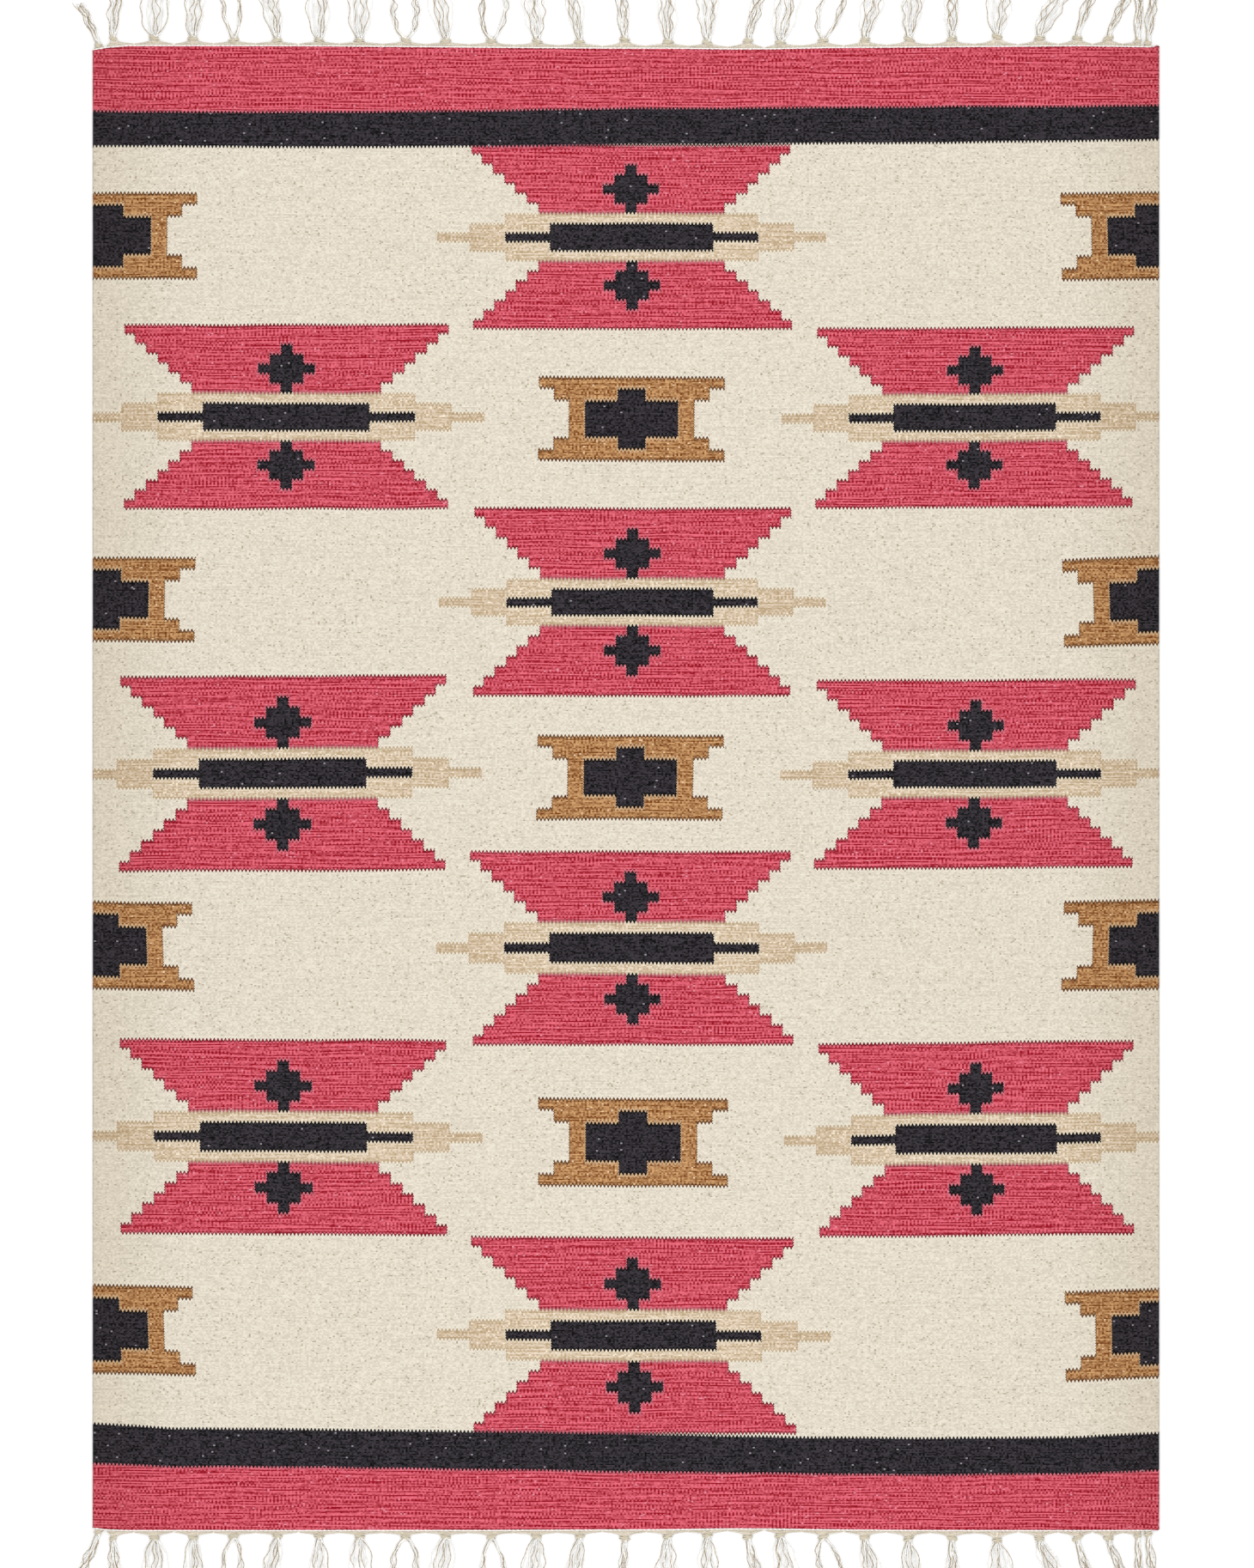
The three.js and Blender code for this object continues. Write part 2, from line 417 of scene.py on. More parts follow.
# The kinds of figure: its rows, the number of the yarn of each of its half-widths, and where
# it lies. The yarns are 0 cream, 1 pink, 2 beige, 3 brown and 4 black.
KINDS = (
    (WINGED_ROWS, (4, 2, 1), WINGED_BARS),
    (FRAMED_ROWS, (4, 3), FRAMED_BLOCKS),
    (SIDE_ROWS, (4, 3), SIDE_BLOCKS),
)

# A colour ramp's range covers this many rows and this half-width, or the band lines from
# this distance over this span.
RAMP_ROWS = 12.75
RAMP_UNITS = 20
BAND_BASE = 900
BAND_SPAN = 100

# The view: how high the photograph's frame is at the cloth's upper face, its middle there,
# and the camera.
VIEW_HEIGHT = 2234.7
VIEW_MIDDLE = (1.5, 5.8)
LENS = 70
SENSOR = 36

# The studio, in metres and watts: a floor, even light from all around, and a lamp over each
# end of the rug.
FLOOR_SIZE = 40
FLOOR_COLOUR = "#F9F9F9"
ROOM_LIGHT = 0.9
LAMP_OUT = 1.3
LAMP_HEIGHT = 2.2
LAMP_SIZE = (2.2, 1.0)
LAMP_POWER = 13.5


def linear(colour):
    """An sRGB hex colour as linear values."""
    channels = [int(colour[place:place + 2], 16) / 255 for place in (1, 3, 5)]
    return tuple(c / 12.92 if c <= 0.04045 else ((c + 0.055) / 1.055) ** 2.4 for c in channels)


def yarn(name, description, colour):
    """A yarn's colour as a property."""
    return bpy.props.FloatVectorProperty(
        name=name, description=description, default=linear(colour), subtype="COLOR",
        min=0, max=1)


class KilimYarns(bpy.types.PropertyGroup):
    """The dyed wefts, each with its colour lit on top of a bead, deep between two beads as its
    dye's darker tone and painted shade, and as flecks. Some yarns also have a painted shade for
    their edges, and their flecks give the painted highlight where they rise over the next colour."""
    # Each deep colour is the dye's darker tone and the painted shade between the beads. The pink,
    # beige and brown flecks are also the painted highlight where a colour's first beads rise over
    # the next one.
    cream: yarn("Cream", "Undyed field, lit", "#E9E1D1")
    cream_deep_and_shade: yarn("Cream deep", "Undyed field, between the beads", "#C5BBAB")
    cream_fleck: yarn("Cream flecks", "Husk in the undyed field", "#AEA28E")
    pink: yarn("Pink", "Wings and end bands, lit", "#E16879")
    pink_deep_and_shade: yarn("Pink deep", "Wings and end bands, between the beads", "#92031B")
    pink_fleck_and_highlight: yarn("Pink flecks", "Paler fibre in the pink", "#DD8C9A")
    pink_shade: yarn("Pink edges", "Last beads of the pink, in shade", "#500210")
    beige: yarn("Beige", "Bars, lit", "#E3D2BE")
    beige_deep_and_shade: yarn("Beige deep", "Bars, between the beads", "#B49D7A")
    beige_fleck_and_highlight: yarn("Beige flecks", "Paler fibre in the beige", "#ECDFC8")
    brown: yarn("Brown", "Frames, lit", "#CD9F6D")
    brown_deep_and_shade: yarn("Brown deep", "Frames, between the beads", "#6F3600")
    brown_fleck_and_highlight: yarn("Brown flecks", "Paler fibre in the brown", "#E3C6A1")
    brown_shade: yarn("Brown edges", "Last beads of the brown, in shade", "#36160A")
    black: yarn("Black", "Blocks and bands, lit", "#3D383F")
    black_deep_and_shade: yarn("Black deep", "Blocks and bands, between the beads", "#000000")
    black_fleck: yarn("Black flecks", "Lint on the black", "#969198")


class KilimSettings(bpy.types.PropertyGroup):
    """Sizes and colours that a user may change."""
    yarns: bpy.props.PointerProperty(type=KilimYarns)
    ripple: bpy.props.FloatProperty(
        name="Ripple", description="How far the cloth lifts off the floor in its soft ripples",
        default=0.8 * MM, min=0, max=2 * MM, subtype="DISTANCE", unit="LENGTH")


def add(tree, kind, inputs=(), **settings):
    """Adds a shader node. Its inputs are values, sockets, or nodes whose first output is used."""
    node = tree.nodes.new("ShaderNode" + kind)
    for key, value in settings.items():
        setattr(node, key, value)
    for key, value in (inputs.items() if isinstance(inputs, dict) else enumerate(inputs)):
        if isinstance(value, bpy.types.Node):
            value = value.outputs[0]
        if isinstance(value, bpy.types.NodeSocket):
            tree.links.new(value, node.inputs[key])
        else:
            node.inputs[key].default_value = value
    return node


def new_material(name):
    """An empty node material, and the way to add a node to it."""
    material = bpy.data.materials.new(name)
    material.use_nodes = True
    material.node_tree.nodes.clear()
    return material, partial(add, material.node_tree)


def fill_ramp(ramp, stops, interpolation):
    """Gives a colour ramp its stops, each a place from 0 to 1 and four values."""
    ramp.interpolation = interpolation
    ramp.elements.remove(ramp.elements[1])
    ramp.elements[0].position, ramp.elements[0].color = stops[0]
    for place, value in stops[1:]:
        ramp.elements.new(place).color = value


def end_inset(across, side):
    """How far the end edge is drawn in there, at the far end (+1) or the near end (-1)."""
    column = 1 if side > 0 else 2
    for start, end in zip(END_EDGES, END_EDGES[1:]):
        if across <= end[0]:
            share = (across - start[0]) / (end[0] - start[0])
            return start[column] + share * (end[column] - start[column])
    return END_EDGES[-1][column]


def end_edge(across, side):
    """The end edge's y at a place across the cloth."""
    return side * (CLOTH_LENGTH / 2 - end_inset(across, side))


def row_stops(rows):
    """The rows of a figure as ramp stops: each row's start, and its half-widths."""
    starts = (0, *(row[0] for row in rows))
    widths = (*(row[1:] for row in rows), (0, 0))
    return [(start / RAMP_ROWS, [width / RAMP_UNITS for width in (*wide, 0)[:3]] + [1])
            for start, wide in zip(starts, widths)]


def moved_stops(stops, toward):
    """The same rows with their edges moved outwards (+1) or inwards (-1) by a rim."""
    widest = max if toward > 0 else min
    moved = stops[:1]
    for (_, before), (start, after) in zip(stops, stops[1:]):
        moved.append((start - RIM_ROWS / RAMP_ROWS, list(map(widest, before, after))))
        moved.append((start + RIM_ROWS / RAMP_ROWS, after))
    return moved


def figure_place(node, point):
    """How far a point is from the middle of its figure, in units across and rows along, as
    ramp places, and the figure's kind. The figure is told by the face's own attributes."""
    across, along = (
        node("Math", (node("VectorMath", (point, node(
            "Attribute", attribute_name=name).outputs["Vector"]),
            operation="DOT_PRODUCT").outputs["Value"],), operation="ABSOLUTE")
        for name in ("figure_across", "figure_along"))
    kind, in_bar, past_bar = node("SeparateXYZ", (node(
        "Attribute", attribute_name="figure_rows").outputs["Vector"],)).outputs
    in_bar = node("Math", (along, in_bar), operation="MULTIPLY")
    past_bar = node("Math", (along, past_bar), operation="ADD")
    return across, node("Math", (in_bar, past_bar), operation="MINIMUM"), kind


def end_bands(node, point):
    """How far a point is past the near edge of each black band, and how far inside it, as
    shares of the ramp's span."""
    x, y, _ = node("SeparateXYZ", (point,)).outputs
    lines = node("ValToRGB", (node("Math", (x, 1 / CLOTH_WIDTH, 0.5),
                                   operation="MULTIPLY_ADD"),))
    fill_ramp(lines.color_ramp, [
        (place / CLOTH_WIDTH + 0.5, [(line - BAND_BASE) / BAND_SPAN for line in those])
        for place, *those in BAND_LINES], "LINEAR")
    far_pink, far_black, near_black = node("SeparateColor", (lines,)).outputs
    bands = []
    for side, black, pink in ((1, far_black, far_pink), (-1, near_black, lines.outputs["Alpha"])):
        place = node("Math", (y, side / BAND_SPAN, -BAND_BASE / BAND_SPAN),
                     operation="MULTIPLY_ADD")
        past_black = node("Math", (place, black), operation="SUBTRACT")
        before_pink = node("Math", (pink, place), operation="SUBTRACT")
        inside = node("Math", (past_black, before_pink), operation="MINIMUM")
        bands.append((past_black, inside))
    return bands


def yarn_number(node, place, bands, toward):
    """The number of the yarn that shows, with each colour's edges moved outwards (+1),
    inwards (-1) or not at all (0) by a rim."""
    across, row, kind = place
    rim = toward * RIM_WIDTH / RAMP_UNITS / WINGED_BARS[0][2]
    reach = node("Math", (node("Math", (across, rim), operation="SUBTRACT"), 0),
                 operation="MAXIMUM")
    shown = []
    for index, (rows, yarns, _) in enumerate(KINDS):
        other = node("Math", (node("Math", (kind, index), operation="SUBTRACT"),),
                     operation="ABSOLUTE")
        chart = node("ValToRGB", (node("Math", (row, other), operation="ADD"),))
        stops = row_stops(rows)
        fill_ramp(chart.color_ramp, moved_stops(stops, toward) if toward else stops, "CONSTANT")
        widths = node("SeparateColor", (chart,)).outputs
        shown += [(width, reach, number) for width, number in zip(widths, yarns)]
    rim = -toward * BAND_RIM / BAND_SPAN
    for past_black, inside in bands:
        shown += [(past_black, rim, 1), (inside, rim, 4)]
    highest = 0
    for width, limit, number in shown:
        shows = node("Math", (width, limit), operation="GREATER_THAN")
        valued = node("Math", (shows, number), operation="MULTIPLY")
        highest = node("Math", (highest, valued), operation="MAXIMUM")
    return highest


def by_yarn(node, number, rows):
    """A ramp from a yarn's number to its colour, and to a strength as the ramp's alpha."""
    count = len(rows)
    ramp = node("ValToRGB", (node("Math", (number, 1 / count, 0.5 / count),
                                  operation="MULTIPLY_ADD"),))
    stops = [(place / count, (*colour, strength)) for place, (colour, strength) in enumerate(rows)]
    fill_ramp(ramp.color_ramp, stops, "CONSTANT")
    return ramp


def weft_tones(node, flowing, warps):
    """The tones of the weft at a point: its bead's own fibre and lint, from 0 to 1, how far
    its pick is lighter than the next one, and how far its bead stands out over a warp."""
    bead = node("VectorMath", (node("VectorMath", (
        flowing, (1 / WARP_PITCH, 1 / PICK_PITCH, 0)), operation="MULTIPLY"),),
        operation="FLOOR")
    paired = node("VectorMath", (node("VectorMath", (bead, (1, 0.5, 1)),
                                      operation="MULTIPLY"),), operation="FLOOR")
    fibres = node("SeparateColor", (node(
        "TexWhiteNoise", (bead,), noise_dimensions="2D").outputs["Color"],))
    tones = []
    for row, picks_on in ((bead, 0), (bead, 1), (paired, 0)):
        row = node("VectorMath", (row, (0, PICK_STEP, 0), (0, picks_on * PICK_STEP, 0)),
                   operation="MULTIPLY_ADD")
        place = node("VectorMath", (flowing, (1 / STREAK, 0, 0), row), operation="MULTIPLY_ADD")
        tones.append(node("TexNoise", {"Vector": place, "Scale": 1, "Detail": 0},
                          noise_dimensions="2D"))
    pick, next_pick, pair = tones
    lined = node("Math", (pick, next_pick), operation="SUBTRACT")
    beads = node("Math", (node("Math", (pair, 0.5), operation="SUBTRACT"), warps),
                 operation="MULTIPLY")
    return fibres.outputs["Red"], fibres.outputs["Green"], lined, beads


def yarn_looks(node, number, yarns):
    """A yarn's colours and strengths: where it is lit, with how rough its fibres are; between
    its beads, its dye's darker tone and painted shade, with how much its rows show; as flecks,
    with how rare they are; in painted shade where its last beads sink into the next colour, and
    as a painted highlight where its first ones rise over it, with how much."""
    return [by_yarn(node, number, rows) for rows in (
        ((yarns.cream, 0.72), (yarns.pink, 0.78), (yarns.beige, 0.95), (yarns.brown, 0.85),
         (yarns.black, 1)),
        ((yarns.cream_deep_and_shade, 0.25), (yarns.pink_deep_and_shade, 1.32), (yarns.beige_deep_and_shade, 0.85),
         (yarns.brown_deep_and_shade, 0.65), (yarns.black_deep_and_shade, 0.4)),
        ((yarns.cream_fleck, 0.98), (yarns.pink_fleck_and_highlight, 0.995), (yarns.beige_fleck_and_highlight, 0.97),
         (yarns.brown_fleck_and_highlight, 0.992), (yarns.black_fleck, 0.997)),
        ((yarns.cream, 0), (yarns.pink_shade, 0.75), (yarns.beige_deep_and_shade, 0.6),
         (yarns.brown_shade, 0.7), (yarns.black_deep_and_shade, 0.8)),
        ((yarns.cream, 0.9), (yarns.pink_fleck_and_highlight, 0.4), (yarns.beige_fleck_and_highlight, 0.6),
         (yarns.brown_fleck_and_highlight, 0.5), (yarns.black, 0)))]


def differs(node, one, other):
    """1 where two yarn numbers differ, and 0 where they don't."""
    same = node("Math", (one, other, 0.5), operation="COMPARE")
    return node("Math", (1, same), operation="SUBTRACT")


def tail_and_sides(node, point, across, number):
    """How greyed the beige is towards the tips of the winged bars, from handling, and how far
    the cloth is darkened towards its sides by painted shade where the light falls off."""
    tail = node("MapRange", {"Value": across, "From Min": TAIL_START / RAMP_UNITS,
                             "From Max": TAIL_END / RAMP_UNITS})
    beige = node("Math", (number, 2, 0.5), operation="COMPARE")
    aside = node("Math", (node("SeparateXYZ", (point,)),), operation="ABSOLUTE")
    # Painted shade: the cloth darker towards its sides, where the light falls off.
    side_shade = node("MapRange", {"Value": aside, "From Min": SIDE_SHADE_START,
                                "From Max": SIDE_SHADE_END}, interpolation_type="SMOOTHSTEP")
    return node("Math", (tail, beige), operation="MULTIPLY"), side_shade


def weave_material(yarns):
    """Weft-faced plain weave of dyed cotton, beaten down on its loom: rows of small beads
    that hide the warp, streaky where the dye took unevenly, matt, with teeth of two warps
    wherever one colour stands above another."""
    material, node = new_material("weft_faced_cotton_weave")
    where = node("TexCoord").outputs["Object"]
    point = node("VectorMath", (where, (1 / MM, 1 / MM, 0)), operation="MULTIPLY")

    # The rows wander a little, and the steps lean with them.
    wander = node("TexNoise", {"Vector": point, "Scale": 1 / WANDER, "Detail": WANDER_DETAIL},
                  noise_dimensions="2D")
    centred = node("VectorMath", (wander.outputs["Color"], (0.5,) * 3), operation="SUBTRACT")
    moved, flowing = (node("VectorMath", (centred, reach, point), operation="MULTIPLY_ADD")
                      for reach in (EDGE_WANDER, ROW_WANDER))

    # Each tooth is a weft bead that stands over its warp, between two of the next colour.
    waves = node("VectorMath", (node("VectorMath", (
        flowing, (math.pi / WARP_PITCH, math.pi / PICK_PITCH, 0)), operation="MULTIPLY"),),
        operation="SINE")
    warps, picks, _ = node("SeparateXYZ", (waves,)).outputs
    teeth = node("VectorMath", (node("CombineXYZ", (picks, warps, 1)),
                                (TURN_WIDTH / 2, TOOTH_HEIGHT / 2, 1), moved),
                 operation="MULTIPLY_ADD")
    place, bands = figure_place(node, teeth), end_bands(node, teeth)
    number, outer, inner = (yarn_number(node, place, bands, toward) for toward in (0, 1, -1))

    # Each bead has a tone of its own, each pick a slow change of tone along it, and each pair
    # of picks beads that stand out more or less over every second warp, painted lighter where
    # they stand out and darker around them as light and shade.
    fibre, lint, lined, beads = weft_tones(node, flowing, warps)
    lit, deep_and_shade, fleck, shade, crest_highlight = yarn_looks(node, number, yarns)
    grain = node("Math", (fibre, 0.5), operation="SUBTRACT")
    tone = node("Math", (grain, lit.outputs["Alpha"], 0.5), operation="MULTIPLY_ADD")
    # Painted light and shade of the beads, with the dye's streaks along the picks.
    bead_shading_and_streaks = node("Math", (beads, BEAD_SHADING, lined), operation="MULTIPLY_ADD")
    tone = node("Math", (bead_shading_and_streaks, deep_and_shade.outputs["Alpha"], tone), operation="MULTIPLY_ADD",
                use_clamp=True)
    tail, side_shade = tail_and_sides(node, point, place[0], number)
    flecked = node("Math", (lint, fleck.outputs["Alpha"]), operation="GREATER_THAN")

    # The last beads of a colour sink into the next one, in shade, one dot over each warp.
    # Those of the colour beside it rise over them and catch the light.
    # Painted shade inside each colour's edges and a painted highlight just outside them.
    sunk_shade, raised_highlight = (node("Math", (differs(node, number, rim), look.outputs["Alpha"]),
                         operation="MULTIPLY") for rim, look in ((inner, shade), (outer, crest_highlight)))
    colour = node("Mix", {"Factor": tone, MIX_BELOW: deep_and_shade, MIX_ABOVE: lit}, data_type="RGBA")
    for share, above, way in (
            (tail, (*linear(TAIL_TINT), 1), "MULTIPLY"), (flecked, fleck, "MIX"),
            (sunk_shade, shade, "MIX"), (raised_highlight, crest_highlight, "MIX"),
            (side_shade, (*linear(SIDE_SHADE_TINT), 1), "MULTIPLY")):
        colour = node("Mix", {"Factor": share, MIX_BELOW: colour.outputs[MIXED],
                              MIX_ABOVE: above}, data_type="RGBA", blend_type=way)

    # Rounded beads, rows that lie deeper than others, and dots along every colour's edge.
    edge = node("Math", (differs(node, outer, inner), warps), operation="MULTIPLY")
    crossing = node("Math", (node("Math", (warps, picks), operation="MULTIPLY"),),
                    operation="ABSOLUTE")
    relief = lined
    for part, height in ((beads, BEAD_RELIEF), (edge, EDGE_RELIEF), (crossing, CROSSING_RELIEF)):
        relief = node("Math", (part, height, relief), operation="MULTIPLY_ADD")
    bump = node("Bump", {"Strength": 0.6, "Distance": WEAVE_DEPTH * MM, "Height": relief})
    shader = node("BsdfPrincipled", {
        "Base Color": colour.outputs[MIXED], "Roughness": 0.95, "Specular IOR Level": 0.15,
        "Normal": bump})
    node("OutputMaterial", (shader,))
    return material


def plied_material(name, lit, crease):
    """Undyed cotton warp, plied of two and left loose: soft, matt and almost white, with a
    line of painted shade winding along it in the crease where the two plies meet."""
    material, node = new_material(name)
    around = node("SeparateXYZ", (node("UVMap", uv_map="yarn"),))
    turned = node("Math", (around, 2 * math.tau), operation="MULTIPLY")
    wave = node("Math", (node("Math", (turned,), operation="COSINE"), -0.5, 0.5),
                operation="MULTIPLY_ADD")
    line = node("Math", (wave, PLY_LINE), operation="POWER")
    where = node("VectorMath", (node("TexCoord").outputs["Object"], (1 / MM,) * 3),
                 operation="MULTIPLY")
    lint = node("TexNoise", {"Vector": where, "Scale": 1 / LINT, "Detail": 2})
    tone = node("Math", (lint, LINT_TONE, LINT_BASE), operation="MULTIPLY_ADD")
    # Painted shade in the crease between the plies, and lint that lightens and darkens at random.
    crease_shade_and_lint = node("Math", (line, PLY_LINE_SHADE, tone), operation="MULTIPLY_ADD", use_clamp=True)
    colour = node("Mix", {"Factor": crease_shade_and_lint, MIX_BELOW: (*linear(lit), 1),
                          MIX_ABOVE: (*linear(crease), 1)}, data_type="RGBA")
    bump = node("Bump", {"Strength": 0.5, "Distance": LINT_DEPTH * MM, "Height": lint})
    shader = node("BsdfPrincipled", {
        "Base Color": colour.outputs[MIXED], "Roughness": 0.95, "Specular IOR Level": 0.1,
        "Normal": bump})
    node("OutputMaterial", (shader,))
    return material


def section(point, way, reference, radius, turn):
    """The corners of a yarn's section, where its two plies have turned that far."""
    aside = way.cross(reference).normalized()
    upward = aside.cross(way)
    corners = []
    for corner in range(YARN_SIDES):
        angle = corner / YARN_SIDES * math.tau
        out = radius * (1 + PLY_DEPTH * math.cos(2 * angle))
        corners.append((point + out * (math.cos(angle + turn) * aside
                                       + math.sin(angle + turn) * upward)) * MM)
    return corners


def spin(name, yarns, material, reference=Vector((0, 0, 1)), twist=TWIST, loops=False):
    """One piece of many yarns. A yarn is a list of (point, radius), and reference is a
    direction that none of them takes. Its UV map runs around it, and along it in mm."""
    points, faces, places = [], [], []
    for path in yarns:
        first, length = len(points), 0
        lengths = []
        for index, (point, radius) in enumerate(path):
            before = path[index - 1 if index or loops else 0][0]
            after = path[(index + 1) % len(path) if loops else min(index + 1, len(path) - 1)][0]
            length += (point - before).length if index else 0
            lengths.append(length)
            turn = length / twist * math.tau if twist else 0
            points += section(point, (after - before).normalized(), reference, radius, turn)
        rings = len(path) if loops else len(path) - 1
        for ring in range(rings):
            start = first + ring * YARN_SIDES
            end = first + (ring + 1) % len(path) * YARN_SIDES
            low, high = lengths[ring], lengths[(ring + 1) % len(path)]
            for corner in range(YARN_SIDES):
                other = (corner + 1) % YARN_SIDES
                faces.append((start + corner, end + corner, end + other, start + other))
                left, right = corner / YARN_SIDES, (corner + 1) / YARN_SIDES
                places += [(left, low), (left, high), (right, high), (right, low)]
        if not loops:
            last = first + rings * YARN_SIDES
            faces.append(tuple(range(first, first + YARN_SIDES)))
            faces.append(tuple(reversed(range(last, last + YARN_SIDES))))
            places += [(0, 0)] * 2 * YARN_SIDES
    mesh = bpy.data.meshes.new(name)
    mesh.from_pydata(points, [], faces)
    mesh.uv_layers.new(name="yarn")
    mesh.uv_layers["yarn"].data.foreach_set("uv", [part for place in places for part in place])
    mesh.materials.append(material)
    piece = bpy.data.objects.new(name, mesh)
    bpy.context.collection.objects.link(piece)
    only(piece)
    bpy.ops.object.shade_smooth()
    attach(piece, "root")
    return piece


def swag_yarns(side):
    """The warp ends of one end of the cloth, each from the cloth's edge to its knot."""
    chance = random.Random(SWAG_SEED + side)
    yarns = []
    right_end = CLOTH_WIDTH / 2 - BARE_CORNER
    for index, (x, out, *_) in enumerate(TASSELS):
        left = TASSELS[index - 1][0] if index else -CLOTH_WIDTH - x
        right = TASSELS[index + 1][0] if index + 1 < len(TASSELS) else 2 * right_end - x
        for toward, other in ((-1, left), (1, right)):
            reach = abs(other - x) / 2 * SWAG_CROSSING
            for number in range(int(reach / WARP_PITCH)):
                start = (number + 0.5) * WARP_PITCH
                if not -CLOTH_WIDTH / 2 + 1 < x + toward * start < right_end:
                    continue
                layer = chance.uniform(*SWAG_LAYERS)
                inside = x + toward * (start + SWAG_SLANT)
                path = [(Vector((inside, end_edge(inside, side) - side * SWAG_ROOT,
                                 CLOTH_THICKNESS / 2)), SWAG_YARN)]
                steps = max(2, math.ceil(start / SWAG_STEP))
                for step in range(steps + 1):
                    along = step / steps
                    away = start * (1 - along)
                    widening = max(0, 1 - away / SWAG_TOE) ** SWAG_TOE_CURVE
                    width = SWAG_WIDTH + (out - SWAG_WIDTH) * widening
                    rank = (start - away) / max(reach - away, SWAG_LEAST_RANK * reach)
                    place = x + toward * away
                    rise = SWAG_YARN + (width - 2 * SWAG_YARN) * max(rank, along ** 3)
                    lying = layer * math.sin(math.pi * min(1, along * SWAG_SETTLING))
                    height = CLOTH_THICKNESS / 2 + lying + SWAG_CLIMB * along ** 3
                    path.append((Vector((place, end_edge(place, side) + side * (GAP + rise),
                                         max(height, SWAG_YARN * (1 + PLY_DEPTH)))),
                                 SWAG_YARN))
                yarns.append(path)
        for number in range(NECK_YARNS):
            aside = NECK * (number / (NECK_YARNS - 1) - 0.5)
            path = []
            for step in range(NECK_STEPS + 1):
                along = step / NECK_STEPS
                wide = NECK_FLARE + (NECK_WAIST - NECK_FLARE) * along
                path.append((Vector((x + aside * wide,
                                     end_edge(x, side) + side * (out * along - NECK_ROOT),
                                     NECK_HEIGHT + NECK_CLIMB * along)), SWAG_YARN))
            yarns.append(path)
    return yarns


def heading_strands(side):
    """The two strands that turn about each other along one end of the cloth."""
    strands = []
    run = CLOTH_WIDTH - BARE_CORNER
    steps = round(run / HEADING_STEP)
    for strand in range(2):
        path = []
        for step in range(steps + 1):
            place = -CLOTH_WIDTH / 2 + run * step / steps
            turn = math.tau * step / HEADING_TURN_STEPS + math.pi * strand
            out = HEADING_OUT + HEADING_TURN_RADIUS * math.cos(turn)
            path.append((Vector((place, end_edge(place, side) + side * out,
                                 HEADING_HEIGHT + HEADING_TURN_RADIUS * math.sin(turn))),
                         HEADING_YARN))
        strands.append(path)
    return strands


def knot_wraps(side):
    """The loops of the overhand knots, flat on the floor, each knot tilted its own way."""
    chance = random.Random(KNOT_SEED + side)
    loops = []
    for x, out, *_ in TASSELS:
        corner = abs(x) > CLOTH_WIDTH / 2 - CORNER_REACH
        width = CORNER_KNOT_WIDTH if corner else KNOT_WIDTH
        middle = end_edge(x, side) + side * (GAP + out)
        tilt = chance.uniform(-KNOT_TILT, KNOT_TILT)
        for place in WRAP_PLACES:
            half = (width / 2 - WRAP_YARN) * (1 - KNOT_TAPER * place ** 2)
            half *= chance.uniform(*WRAP_SIZES)
            rise = KNOT_HEIGHT / 2 * (1 - KNOT_CROWN * place ** 2)
            slope = tilt + chance.uniform(-WRAP_TILT, WRAP_TILT)
            shift = chance.uniform(-WRAP_SHIFT, WRAP_SHIFT)
            loop = []
            for step in range(WRAP_STEPS):
                angle = step / WRAP_STEPS * math.tau
                across = math.cos(angle) * half
                loop.append((Vector((
                    x + shift + across,
                    middle + side * place * KNOT_DEPTH / 2 + slope * across,
                    WRAP_YARN * (1 + PLY_DEPTH) + rise + math.sin(angle) * rise)), WRAP_YARN))
            loops.append(loop)
    return loops


